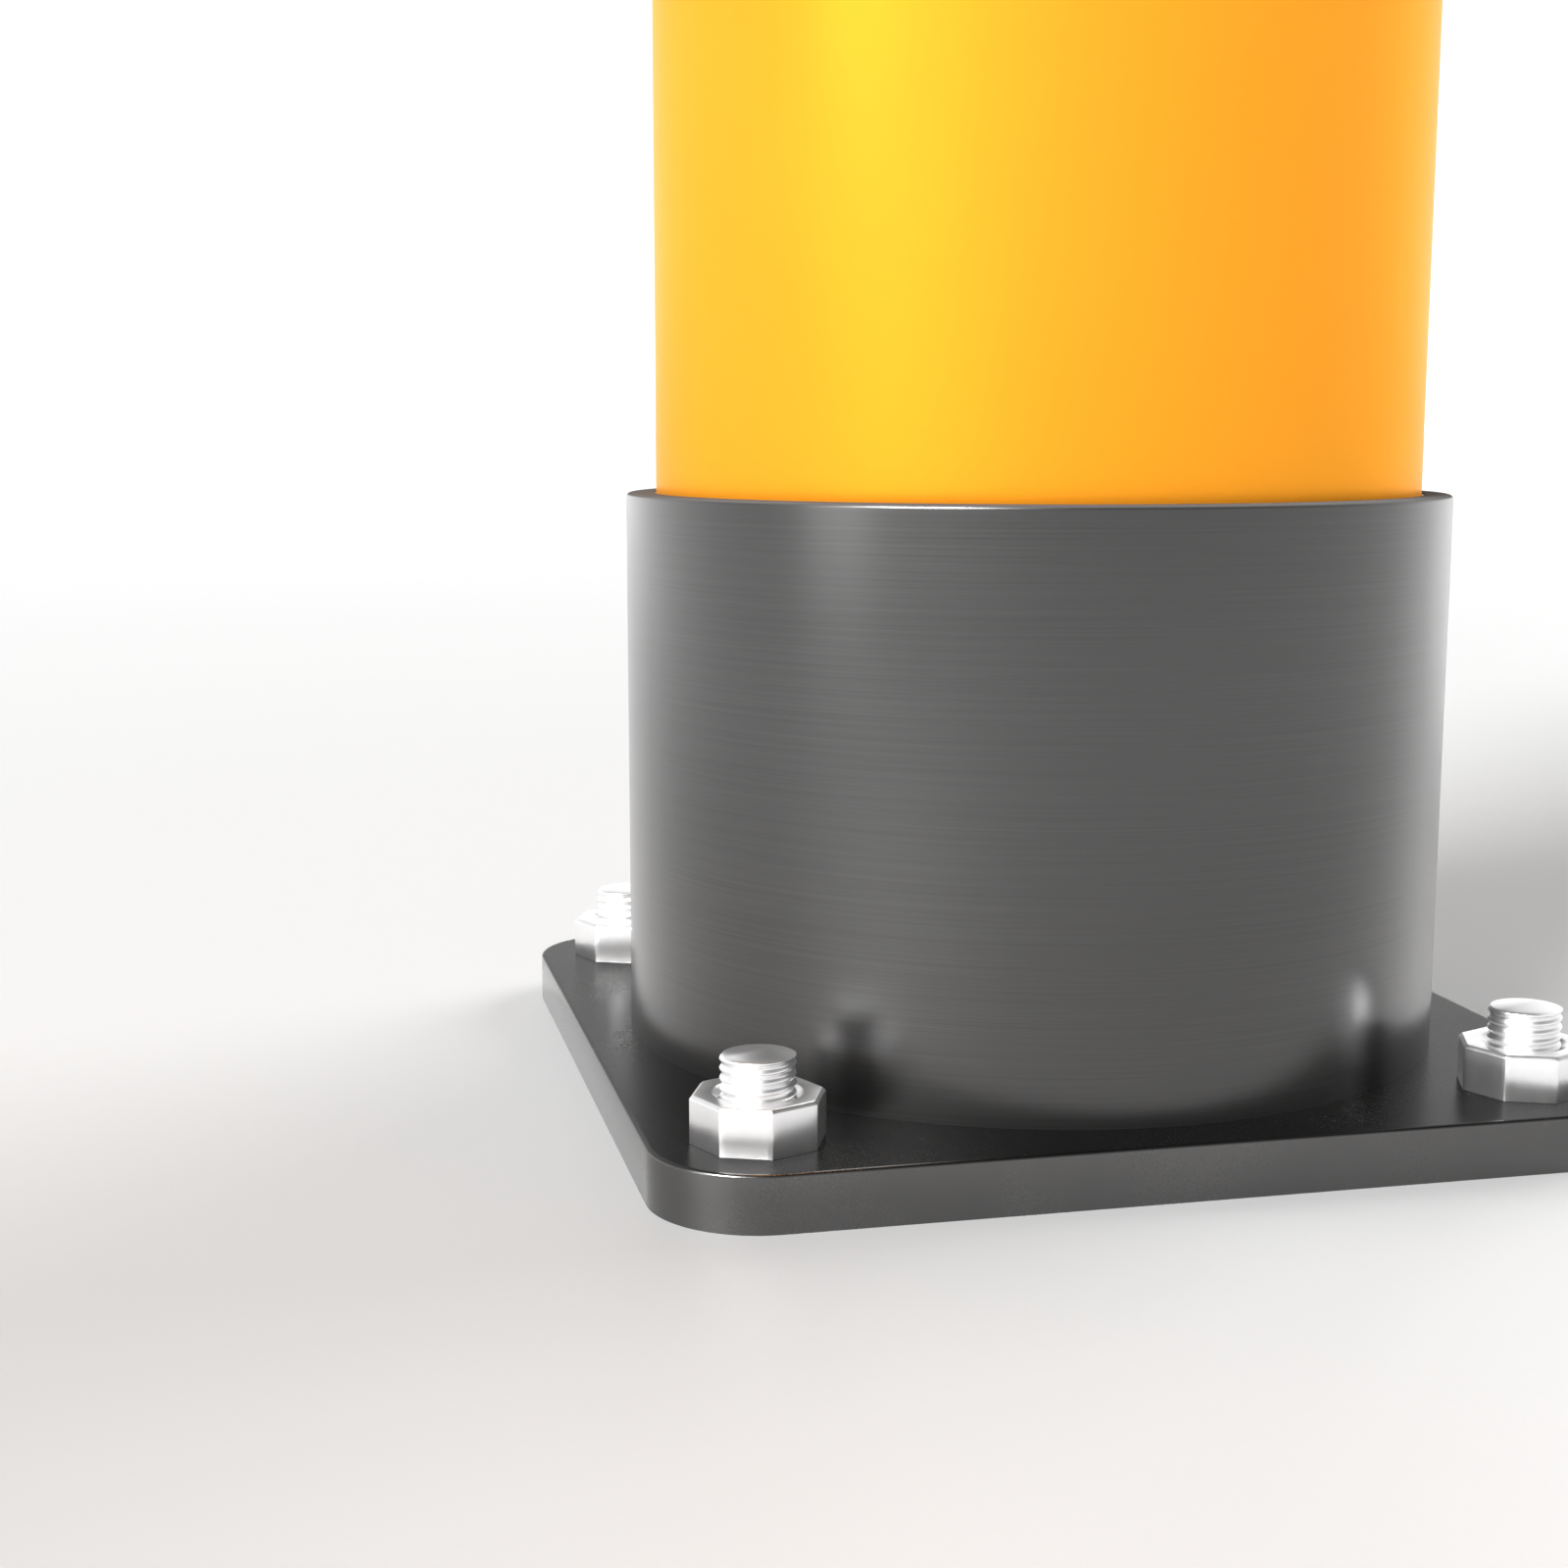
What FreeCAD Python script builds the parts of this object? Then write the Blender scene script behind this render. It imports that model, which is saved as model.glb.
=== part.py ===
import FreeCAD, Part
import math
import os
from types import SimpleNamespace

import Sketcher

# Bolt-down steel bollard: a capped tube post that stands in a turned socket on a square base plate.
# X and Y run along the plate's sides and Z is up. The origin is the middle of the plate's underside,
# on the floor, so the anchors reach below zero.

DIMENSIONS = (
    ("plate_thick", 12, "thickness of the base plate"),
    ("plate_corner", 23, "radius of the base plate's corners"),
    ("plate_edge", 0.8, "round along the base plate's top edge"),
    ("anchor_tuck", 10.9, "how far an anchor's axis lies inside the collar's outer side, along X and Y"),
    ("anchor_inset", 23, "distance from an anchor's axis to the plate's side"),
    ("anchor_play", 1, "radial clearance of an anchor in its hole"),
    ("tube_dia", 177.8, "outer diameter of the post tube"),
    ("tube_wall", 5, "wall of the post tube"),
    ("post_height", 1000, "height of the cap's top above the floor"),
    ("socket_gap", 0.4, "radial clearance between tube and collar"),
    ("collar_wall", 6.6, "wall of the collar"),
    ("collar_height", 126.5, "height of the collar above the plate"),
    ("collar_bevel", 1, "bevel on the collar's upper outer edge"),
    ("weld_gap", 0.4, "clearance between the collar's weld and the foot disc"),
    ("weld_headroom", 1, "clearance between the collar's weld and the tube's lower end"),
    ("seal_width", 3.2, "width of the rubber seal ring"),
    ("seal_side_gap", 0.3, "clearance beside the seal in its groove"),
    ("seal_groove_depth", 2.3, "depth of the seal groove in the collar's bore"),
    ("seal_drop", 6, "distance from the collar's rim down to the seal groove"),
    ("foot_thick", 18, "thickness of the foot disc inside the tube"),
    ("foot_weld_leg", 3, "leg of the weld between foot disc and tube"),
    ("screw_inset", 28.9, "distance from the foot disc's rim to a foot screw's axis"),
    ("screw_dia", 12, "thread of the foot screws"),
    ("screw_length", 25, "length of a foot screw with its head"),
    ("screw_head_dia", 24, "head of a countersunk foot screw"),
    ("screw_sink", 0.3, "depth of the screw heads inside the plate's underside"),
    ("screw_play", 0.75, "radial clearance of a foot screw in the plate"),
    ("screw_key_flats", 8, "hexagon key size of the foot screws"),
    ("screw_key_depth", 4.5, "depth of the hexagon socket"),
    ("cap_rise", 14, "height of the cap above the tube's rim"),
    ("cap_edge", 5, "height of the cap's straight rim"),
    ("cap_wall", 3, "wall of the moulded cap"),
    ("cap_skirt", 34, "depth of the cap's skirt in the tube"),
    ("cap_gap", 0.9, "radial clearance between cap skirt and tube"),
    ("rib_width", 4, "width of a gripping rib on the skirt"),
    ("rib_play", 0.05, "clearance between a rib and the tube"),
    ("anchor_dia", 16, "shank of an anchor stud"),
    ("thread_play", 0.2, "how far the thread's crest lies inside the shank's radius"),
    ("anchor_depth", 88, "depth of an anchor below the floor"),
    ("anchor_proud", 7.7, "length of stud above the nut"),
    ("neck_cut", 1.8, "depth of the neck inside the shank's radius"),
    ("neck_length", 20, "length of the neck"),
    ("cone_length", 9, "length of the spreading cone below the neck"),
    ("clip_gap", 0.05, "radial clearance between clip and neck"),
    ("clip_wall", 1.5, "wall of the expansion clip"),
    ("clip_length", 17, "length of the expansion clip"),
    ("clip_slit", 2, "width of each slit in the expansion clip"),
    ("nut_flats", 26, "width across the nut's flats"),
    ("nut_height", 10, "height of a nut"),
    ("nut_bevel", 0.7, "bevel round the nut's end faces"),
    ("nut_countersink", 0.8, "countersink at each end of the nut's thread"),
)

CORNERS = 4
NUT_SIDES = 8
SLITS = 3
CAP_RIBS = 12
TURN = 360


class Size:
    """A length that knows its value and the sheet expression that works it out."""

    def __init__(self, value, text):
        self.value = value
        self.text = text

    def combine(self, other, sign, value):
        return Size(value, f"({self.text} {sign} {as_size(other).text})")

    def __add__(self, other):
        return self.combine(other, "+", self.value + as_size(other).value)

    def __sub__(self, other):
        return self.combine(other, "-", self.value - as_size(other).value)

    def __mul__(self, factor):
        return self.combine(factor, "*", self.value * as_size(factor).value)

    def __truediv__(self, factor):
        return self.combine(factor, "/", self.value / as_size(factor).value)

    def __neg__(self):
        return self * -1


def as_size(number):
    """A plain number as a size, so that sizes and numbers mix in one sum."""
    if isinstance(number, Size):
        return number
    return Size(float(number), f"({number:.12g})")


doc = FreeCAD.newDocument("bollard")
sheet = doc.addObject("Spreadsheet::Sheet", "sizes")
for row, (alias, number, note) in enumerate(DIMENSIONS, start=1):
    sheet.set(f"A{row}", note)
    sheet.set(f"B{row}", str(number))
    sheet.setAlias(f"B{row}", alias)
doc.recompute()
s = SimpleNamespace(**{alias: Size(number, f"sizes.{alias}") for alias, number, note in DIMENSIONS})

# Radii and heights that several pieces share.
tube_r = s.tube_dia / 2
tube_bore_r = tube_r - s.tube_wall
socket_r = tube_r + s.socket_gap
collar_r = socket_r + s.collar_wall
groove_r = socket_r + s.seal_groove_depth
anchor_arm = collar_r - s.anchor_tuck
plate_half = anchor_arm + s.anchor_inset
shank_r = s.anchor_dia / 2
thread_r = shank_r - s.thread_play
neck_r = shank_r - s.neck_cut
screw_r = s.screw_dia / 2
screw_arm = tube_bore_r - s.screw_inset
weld_leg = socket_r - tube_bore_r - s.weld_gap
collar_top = s.plate_thick + s.collar_height
groove_top = collar_top - s.seal_drop
groove_base = groove_top - s.seal_width - s.seal_side_gap * 2
tube_base = s.plate_thick + weld_leg + s.weld_headroom
tube_top = s.post_height - s.cap_rise
nut_top = s.plate_thick + s.nut_height


def new_body(label):
    """An empty body whose label is its node's name."""
    body = doc.addObject("PartDesign::Body", label)
    body.Label = label
    return body


def new_sketch(body, name, role, height=None):
    """A sketch on one of the body's origin planes, raised along the plane's normal if a height is given."""
    sketch = body.newObject("Sketcher::SketchObject", name)
    plane = next(item for item in body.Origin.OriginFeatures if item.Role == role)
    sketch.AttachmentSupport = [(plane, "")]
    sketch.MapMode = "FlatFace"
    if height is not None:
        sketch.setExpression("AttachmentOffset.Base.z", height.text)
    return sketch


def tie(sketch, kind, size, *geometry):
    """A dimension of the sketch, bound to the sheet."""
    index = sketch.addConstraint(Sketcher.Constraint(kind, *geometry, size.value))
    sketch.setExpression(f"Constraints[{index}]", size.text)


def tie_point(sketch, curve, end, x, y):
    """Sets one end of a curve at x, y from the sketch's origin. A plain 0 puts it on the axis."""
    for kind, axis, size in (("DistanceX", -2, x), ("DistanceY", -1, y)):
        if isinstance(size, Size):
            tie(sketch, kind, size, -1, 1, curve, end)
        else:
            sketch.addConstraint(Sketcher.Constraint("PointOnObject", curve, end, axis))


def draw_outline(sketch, corners):
    """A closed outline of straight sides through the corners."""
    points = [FreeCAD.Vector(as_size(x).value, as_size(y).value, 0) for x, y in corners]
    count = len(points)
    for i in range(count):
        sketch.addGeometry(Part.LineSegment(points[i], points[(i + 1) % count]))
    for i in range(count):
        sketch.addConstraint(Sketcher.Constraint("Coincident", i, 2, (i + 1) % count, 1))
    for i, (x, y) in enumerate(corners):
        tie_point(sketch, i, 1, x, y)


def draw_circle(sketch, radius, x=0, y=0):
    """A circle with its middle at x, y from the sketch's origin."""
    middle = FreeCAD.Vector(as_size(x).value, as_size(y).value, 0)
    curve = sketch.addGeometry(Part.Circle(middle, FreeCAD.Vector(0, 0, 1), radius.value))
    tie(sketch, "Radius", radius, curve)
    tie_point(sketch, curve, 3, x, y)


def polygon_corners(flats, sides):
    """Corners of a regular polygon, the first on the sketch's X axis, from its width across flats."""
    corner_r = flats / 2 / math.cos(math.pi / sides)
    corners = []
    for i in range(sides):
        angle = 2 * math.pi * i / sides
        share = (round(math.cos(angle), 12), round(math.sin(angle), 12))
        corners.append(tuple(corner_r * part if part else 0 for part in share))
    return corners


def revolve(body, name, corners):
    """A solid of revolution about Z, from an outline of radius and height."""
    sketch = new_sketch(body, name + "_profile", "XZ_Plane")
    draw_outline(sketch, corners)
    feature = body.newObject("PartDesign::Revolution", name)
    feature.Profile = sketch
    feature.ReferenceAxis = (sketch, ["V_Axis"])
    feature.Angle = TURN
    doc.recompute()
    return feature


def pad(body, name, sketch, length):
    """The sketch's outline raised along its normal."""
    feature = body.newObject("PartDesign::Pad", name)
    feature.Profile = sketch
    feature.setExpression("Length", length.text)
    doc.recompute()
    return feature


def pocket(body, name, sketch, depth=None):
    """The sketch's outline cut upwards, through everything or to a depth."""
    before = body.Shape.Volume
    feature = body.newObject("PartDesign::Pocket", name)
    feature.Profile = sketch
    feature.Reversed = True
    if depth is None:
        feature.Type = "ThroughAll"
    else:
        feature.setExpression("Length", depth.text)
    doc.recompute()
    if body.Shape.Volume >= before:
        raise RuntimeError(f"{body.Label}: {name} cut nothing")
    return feature


def pattern(body, feature, count):
    """The feature repeated evenly about Z."""
    turned = body.newObject("PartDesign::PolarPattern", feature.Name + "_pattern")
    turned.Originals = [feature]
    turned.Axis = (feature.Profile[0], ["N_Axis"])
    turned.Angle = TURN
    turned.Occurrences = count
    body.Tip = turned
    doc.recompute()
    return turned


def edges_of(feature, wanted):
    """Names of the feature's edges that the test picks."""
    return [f"Edge{i}" for i, edge in enumerate(feature.Shape.Edges, start=1) if wanted(edge)]


def at_height(*levels):
    """A test for edges that lie whole at one of the levels."""

    def wanted(edge):
        box = edge.BoundBox
        return any(max(abs(box.ZMin - z), abs(box.ZMax - z)) < 1e-6 for z in levels)

    return wanted


def dress(body, kind, feature, edges, size):
    """A fillet or a chamfer along the named edges."""
    name = f"{feature.Name}_{kind.lower()}"
    dressed = body.newObject(f"PartDesign::{kind}", name)
    dressed.Base = (feature, edges)
    dressed.setExpression({"Fillet": "Radius", "Chamfer": "Size"}[kind], size.text)
    doc.recompute()
    return dressed


def move(body, x, y):
    """Sets the body at x, y."""
    body.setExpression("Placement.Base.x", x.text)
    body.setExpression("Placement.Base.y", y.text)


def base_plate():
    """Square plate with rounded corners, anchor holes and countersunk screw holes."""
    body = new_body("base_plate")
    sketch = new_sketch(body, "plate_outline", "XY_Plane")
    side = plate_half
    draw_outline(sketch, [(-side, -side), (side, -side), (side, side), (-side, side)])
    slab = pad(body, "plate_slab", sketch, s.plate_thick)
    upright = edges_of(slab, lambda edge: abs(edge.tangentAt(edge.FirstParameter).z) > 0.99)
    slab = dress(body, "Fillet", slab, upright, s.plate_corner)
    slab = dress(body, "Fillet", slab, edges_of(slab, at_height(s.plate_thick.value)), s.plate_edge)

    sketch = new_sketch(body, "anchor_circle", "XY_Plane")
    draw_circle(sketch, shank_r + s.anchor_play, anchor_arm, anchor_arm)
    pattern(body, pocket(body, "anchor_hole", sketch), CORNERS)

    sketch = new_sketch(body, "screw_circle", "XY_Plane")
    draw_circle(sketch, screw_r + s.screw_play, screw_arm, 0)
    pattern(body, pocket(body, "screw_hole", sketch), CORNERS)

    # The countersink follows the screw head's 45 degree cone, starting at the plate's underside.
    mouth_r = s.screw_head_dia / 2 + s.screw_sink
    throat_r = screw_r + s.screw_play
    depth = mouth_r - throat_r
    sketch = new_sketch(body, "countersink_profile", "XZ_Plane")
    draw_outline(sketch, [
        (screw_arm, 0),
        (screw_arm + mouth_r, 0),
        (screw_arm + throat_r, depth),
        (screw_arm, depth),
    ])
    before = body.Shape.Volume
    groove = body.newObject("PartDesign::Groove", "countersink")
    groove.Profile = sketch
    groove.ReferenceAxis = (sketch, ["Edge4"])
    groove.Angle = TURN
    doc.recompute()
    if body.Shape.Volume >= before:
        raise RuntimeError("the countersink cut nothing")
    turned = body.newObject("PartDesign::PolarPattern", "countersink_pattern")
    turned.Originals = [groove]
    turned.Axis = (sketch, ["V_Axis"])
    turned.Angle = TURN
    turned.Occurrences = CORNERS
    body.Tip = turned
    doc.recompute()
    return body


def base_collar():
    """Turned socket ring with a bevelled rim and a seal groove in its bore."""
    body = new_body("base_collar")
    revolve(body, "collar_ring", [
        (socket_r, s.plate_thick),
        (collar_r, s.plate_thick),
        (collar_r, collar_top - s.collar_bevel),
        (collar_r - s.collar_bevel, collar_top),
        (socket_r, collar_top),
        (socket_r, groove_top),
        (groove_r, groove_top),
        (groove_r, groove_base),
        (socket_r, groove_base),
    ])
    return body


def collar_weld():
    """Fillet weld in the corner between the collar's bore and the plate."""
    body = new_body("collar_weld")
    revolve(body, "collar_bead", [
        (socket_r, s.plate_thick),
        (socket_r, s.plate_thick + weld_leg),
        (socket_r - weld_leg, s.plate_thick),
    ])
    return body


def socket_seal():
    """Rubber ring in the collar's groove, pressed against the tube."""
    body = new_body("socket_seal")
    low = groove_base + s.seal_side_gap
    high = low + s.seal_width
    revolve(body, "seal_ring", [(tube_r, low), (groove_r, low), (groove_r, high), (tube_r, high)])
    return body


def foot_disc():
    """Disc that closes the tube's lower end and takes the foot screws."""
    body = new_body("foot_disc")
    sketch = new_sketch(body, "disc_outline", "XY_Plane", s.plate_thick)
    draw_circle(sketch, tube_bore_r)
    pad(body, "disc_slab", sketch, s.foot_thick)
    sketch = new_sketch(body, "thread_circle", "XY_Plane", s.plate_thick)
    draw_circle(sketch, screw_r, screw_arm, 0)
    pattern(body, pocket(body, "thread_hole", sketch), CORNERS)
    return body


def foot_weld():
    """Fillet weld between the foot disc's rim and the tube's lower end."""
    body = new_body("foot_weld")
    revolve(body, "foot_bead", [
        (tube_bore_r, tube_base),
        (tube_bore_r + s.foot_weld_leg, tube_base),
        (tube_bore_r, tube_base - s.foot_weld_leg),
    ])
    return body


def post_tube():
    """Round steel tube, the post itself."""
    body = new_body("post_tube")
    revolve(body, "tube_wall_ring", [
        (tube_bore_r, tube_base),
        (tube_r, tube_base),
        (tube_r, tube_top),
        (tube_bore_r, tube_top),
    ])
    return body


def cap_section(sketch):
    """Half section of the cap: a domed top of even thickness over a straight rim and a skirt."""
    skirt_r = tube_bore_r - s.cap_gap
    inner_r = skirt_r - s.cap_wall
    skirt_base = tube_top - s.cap_skirt
    edge_top = tube_top + s.cap_edge
    rise = (s.post_height - edge_top).value
    dome_r = (tube_r.value ** 2 + rise ** 2) / (2 * rise)
    ceiling_r = dome_r - s.cap_wall.value
    middle = FreeCAD.Vector(0, s.post_height.value - dome_r, 0)
    spring = middle.y + math.sqrt(ceiling_r ** 2 - inner_r.value ** 2)
    corners = [
        (inner_r, Size(spring, "")),
        (inner_r, skirt_base),
        (skirt_r, skirt_base),
        (skirt_r, tube_top),
        (tube_r, tube_top),
        (tube_r, edge_top),
    ]
    points = [FreeCAD.Vector(x.value, y.value, 0) for x, y in corners]
    last = len(points) - 2
    for i in range(last + 1):
        sketch.addGeometry(Part.LineSegment(points[i], points[i + 1]))
    for i in range(last):
        sketch.addConstraint(Sketcher.Constraint("Coincident", i, 2, i + 1, 1))
    tie(sketch, "DistanceX", inner_r, -1, 1, 0, 1)
    for i in range(1, last + 1):
        tie_point(sketch, i, 1, *corners[i])
    tie_point(sketch, last, 2, *corners[-1])

    arcs = []
    for radius, reach in ((dome_r, tube_r.value), (ceiling_r, inner_r.value)):
        circle = Part.Circle(middle, FreeCAD.Vector(0, 0, 1), radius)
        start = math.acos(reach / radius)
        arcs.append(sketch.addGeometry(Part.ArcOfCircle(circle, start, math.pi / 2)))
    dome, ceiling = arcs
    crown = sketch.addGeometry(Part.LineSegment(
        FreeCAD.Vector(0, s.post_height.value, 0),
        FreeCAD.Vector(0, (s.post_height - s.cap_wall).value, 0),
    ))
    tie_point(sketch, crown, 1, 0, s.post_height)
    tie_point(sketch, crown, 2, 0, s.post_height - s.cap_wall)
    sketch.addConstraint(Sketcher.Constraint("Coincident", dome, 1, last, 2))
    sketch.addConstraint(Sketcher.Constraint("Coincident", dome, 2, crown, 1))
    sketch.addConstraint(Sketcher.Constraint("Coincident", ceiling, 1, 0, 1))
    sketch.addConstraint(Sketcher.Constraint("Coincident", ceiling, 2, crown, 2))
    sketch.addConstraint(Sketcher.Constraint("PointOnObject", dome, 3, -2))
    sketch.addConstraint(Sketcher.Constraint("Coincident", ceiling, 3, dome, 3))


def top_cap():
    """Moulded push-in cap whose skirt has ribs that grip the tube."""
    body = new_body("top_cap")
    sketch = new_sketch(body, "cap_profile", "XZ_Plane")
    cap_section(sketch)
    shell = body.newObject("PartDesign::Revolution", "cap_shell")
    shell.Profile = sketch
    shell.ReferenceAxis = (sketch, ["V_Axis"])
    shell.Angle = TURN
    doc.recompute()

    sketch = new_sketch(body, "rib_outline", "XY_Plane", tube_top - s.cap_skirt)
    half = s.rib_width / 2
    root = tube_bore_r - s.cap_gap - s.cap_wall / 2
    crest = tube_bore_r - s.rib_play
    draw_outline(sketch, [(root, -half), (crest, -half), (crest, half), (root, half)])
    rib = pad(body, "rib", sketch, s.cap_skirt)
    pattern(body, rib, CAP_RIBS)
    return body


def foot_screw(label, x, y):
    """Countersunk screw with a hexagon socket, driven upwards from the plate's underside."""
    body = new_body(label)
    head_r = s.screw_head_dia / 2
    top = s.screw_sink + s.screw_length
    revolve(body, f"{label}_blank", [
        (0, s.screw_sink),
        (head_r, s.screw_sink),
        (screw_r, s.screw_sink + head_r - screw_r),
        (screw_r, top),
        (0, top),
    ])
    sketch = new_sketch(body, f"{label}_key_outline", "XY_Plane", s.screw_sink)
    draw_outline(sketch, polygon_corners(s.screw_key_flats, 6))
    pocket(body, f"{label}_key", sketch, s.screw_key_depth)
    move(body, x, y)
    return body


def anchor_stud(label, x, y):
    """Wedge anchor's stud: a thread above the floor, a shank, a neck and a spreading cone."""
    body = new_body(label)
    end = -s.anchor_depth
    cone_top = end + s.cone_length
    neck_top = cone_top + s.neck_length
    revolve(body, f"{label}_bar", [
        (0, end),
        (shank_r, end),
        (neck_r, cone_top),
        (neck_r, neck_top),
        (shank_r, neck_top),
        (shank_r, 0),
        (thread_r, 0),
        (thread_r, nut_top + s.anchor_proud),
        (0, nut_top + s.anchor_proud),
    ])
    move(body, x, y)
    return body


def anchor_clip(label, x, y):
    """Expansion clip: a slit steel sleeve round the stud's neck, above the cone."""
    body = new_body(label)
    inner_r = neck_r + s.clip_gap
    sketch = new_sketch(body, f"{label}_ring", "XY_Plane", s.cone_length - s.anchor_depth)
    draw_circle(sketch, inner_r)
    draw_circle(sketch, inner_r + s.clip_wall)
    pad(body, f"{label}_sleeve", sketch, s.clip_length)
    sketch = new_sketch(body, f"{label}_slit_outline", "XY_Plane", s.cone_length - s.anchor_depth)
    half = s.clip_slit / 2
    reach = inner_r + s.clip_wall * 2
    draw_outline(sketch, [(neck_r / 2, -half), (reach, -half), (reach, half), (neck_r / 2, half)])
    slit = pocket(body, f"{label}_slit", sketch, s.clip_length - s.clip_wall * 2)
    pattern(body, slit, SLITS)
    move(body, x, y)
    return body


def anchor_nut(label, x, y):
    """Eight-sided nut, bevelled round both ends and countersunk at its thread."""
    body = new_body(label)
    low = s.plate_thick.value
    high = nut_top.value
    sketch = new_sketch(body, f"{label}_outline", "XY_Plane", s.plate_thick)
    draw_outline(sketch, polygon_corners(s.nut_flats, NUT_SIDES))
    blank = pad(body, f"{label}_blank", sketch, s.nut_height)
    dress(body, "Chamfer", blank, edges_of(blank, at_height(low, high)), s.nut_bevel)
    sketch = new_sketch(body, f"{label}_thread_circle", "XY_Plane", s.plate_thick)
    draw_circle(sketch, thread_r)
    bored = pocket(body, f"{label}_thread", sketch)
    rims = edges_of(bored, lambda edge: at_height(low, high)(edge) and isinstance(edge.Curve, Part.Circle))
    dress(body, "Chamfer", bored, rims, s.nut_countersink)
    move(body, x, y)
    return body


pieces = [
    base_plate(),
    base_collar(),
    collar_weld(),
    socket_seal(),
    foot_disc(),
    foot_weld(),
    post_tube(),
    top_cap(),
]
none = as_size(0)
screw_places = ((screw_arm, none), (none, screw_arm), (-screw_arm, none), (none, -screw_arm))
for number, (x, y) in enumerate(screw_places, start=1):
    pieces.append(foot_screw(f"foot_screw_{number}", x, y))
anchor_places = (
    (-anchor_arm, -anchor_arm),
    (anchor_arm, -anchor_arm),
    (anchor_arm, anchor_arm),
    (-anchor_arm, anchor_arm),
)
for make in (anchor_stud, anchor_clip, anchor_nut):
    for number, (x, y) in enumerate(anchor_places, start=1):
        pieces.append(make(f"{make.__name__}_{number}", x, y))

doc.recompute()
for item in doc.Objects:
    if "Invalid" in item.State or "Error" in item.State:
        raise RuntimeError(f"{item.Label} failed to build: {item.State}")
for piece in pieces:
    if piece.Shape.isNull() or not piece.Shape.isValid() or len(piece.Shape.Solids) != 1:
        raise RuntimeError(f"{piece.Label} is not one valid solid")
os.makedirs("parts", exist_ok=True)
for piece in pieces:
    piece.Shape.exportStep(f"parts/{piece.Label}.step")
print(f"{len(pieces)} pieces written")
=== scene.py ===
import math

import bmesh
import bpy
from mathutils import Matrix, Vector


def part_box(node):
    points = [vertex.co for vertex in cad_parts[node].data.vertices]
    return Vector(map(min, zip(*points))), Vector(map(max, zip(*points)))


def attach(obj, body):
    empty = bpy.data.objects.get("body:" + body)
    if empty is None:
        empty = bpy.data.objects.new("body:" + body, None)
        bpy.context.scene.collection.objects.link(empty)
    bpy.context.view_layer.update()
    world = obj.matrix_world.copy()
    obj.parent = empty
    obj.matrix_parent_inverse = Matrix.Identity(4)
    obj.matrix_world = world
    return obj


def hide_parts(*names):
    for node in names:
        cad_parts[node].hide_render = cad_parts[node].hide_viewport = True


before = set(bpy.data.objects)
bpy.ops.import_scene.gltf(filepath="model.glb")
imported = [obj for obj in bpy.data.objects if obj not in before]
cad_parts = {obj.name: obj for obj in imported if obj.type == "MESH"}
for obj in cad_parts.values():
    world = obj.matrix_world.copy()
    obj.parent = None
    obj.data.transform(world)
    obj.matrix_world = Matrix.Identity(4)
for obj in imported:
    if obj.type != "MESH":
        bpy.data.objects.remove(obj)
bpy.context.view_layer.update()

# Steel safety bollard. The pieces below stand over the CAD nodes, with their places read from those nodes.
# Lengths are in metres. The post stands on z = 0 with its axis along z.

MM = 0.001

# Studs, nuts, clips and screws are each numbered from 1 to 4.
NUMBERS = range(1, 5)

# Sizes of details. The CAD boxes give the rest.
ROUND_STEPS = 240
TUBE_EDGE = 0.5 * MM
SEAL_EDGE = 0.6 * MM
PLATE_CORNER = 23 * MM
PLATE_CORNER_STEPS = 24
PLATE_EDGE = 0.8 * MM
HOLE_EDGE = 0.3 * MM
HOLE_STEPS = 48
ANCHOR_HOLE_R = 9 * MM
SCREW_SINK = 0.3 * MM
SCREW_PLAY = 0.75 * MM
RIM_EDGE = 1 * MM
GROOVE_PLAY = 0.3 * MM
CAP_WALL = 3 * MM
CAP_EDGE = 5 * MM
CAP_RIM_EDGE = 0.8 * MM
CAP_LEAD_IN = 1 * MM
CAP_RIBS = 12
CAP_PLAY = 0.9 * MM
SKIRT_NEAR = 0.02 * MM
DOME_RINGS = 20
RIB_MARGIN = 3 * MM
RIB_PLAY = 0.05 * MM
RIB_STEPS = 22
NUT_EDGE = 0.7 * MM
NUT_CORNER = 0.12 * MM
NUT_SINK = 1.4 * MM
NUT_SIDES = 8
NUT_CUTS = 7
THREAD_PITCH = 2 * MM
THREAD_DEPTH = 0.6 * MM
THREAD_STEPS = 48
SECTION_STEPS = 8
SHANK_R = (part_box("anchor_stud_1")[1].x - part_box("anchor_stud_1")[0].x) / 2
CREST_R = SHANK_R - 0.2 * MM
BORE_R = CREST_R + 0.05 * MM
NECK_R = SHANK_R - 1.8 * MM
SHANK_LENGTH = 59 * MM
NECK_LENGTH = 20 * MM
SCREW_R = 6 * MM
SCREW_PITCH = 1.75 * MM
SCREW_THREAD = 0.9 * MM
HEAD_LAND = 0.4 * MM
KEY_FLATS = 8 * MM
KEY_DEPTH = 4.5 * MM
KEY_TIP = 1 * MM
WELD_GAP = 0.01 * MM

# The studio. Lens and sensor are in millimetres, and turns are in degrees.
AIM = Vector((0, 0, 0.12))
FLOOR_R = 60
# How far out the floor's painted brightening runs, in metres to one step of the ramp.
FLOOR_FADE = 5
SKY_LEVEL = 1.2
SKY_BACK = 0.35
SKY_FALL = 1.3
SUN_DISTANCE = 5
EYE = Vector((-0.17843, -0.51863, 0.1539))
EYE_TILT = 90 - 8.9116
EYE_TURN = -12.8344
FOCAL_LENGTH = 52.466
SENSOR = 36


# ---------------------------------------------------------------- shader arithmetic

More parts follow.
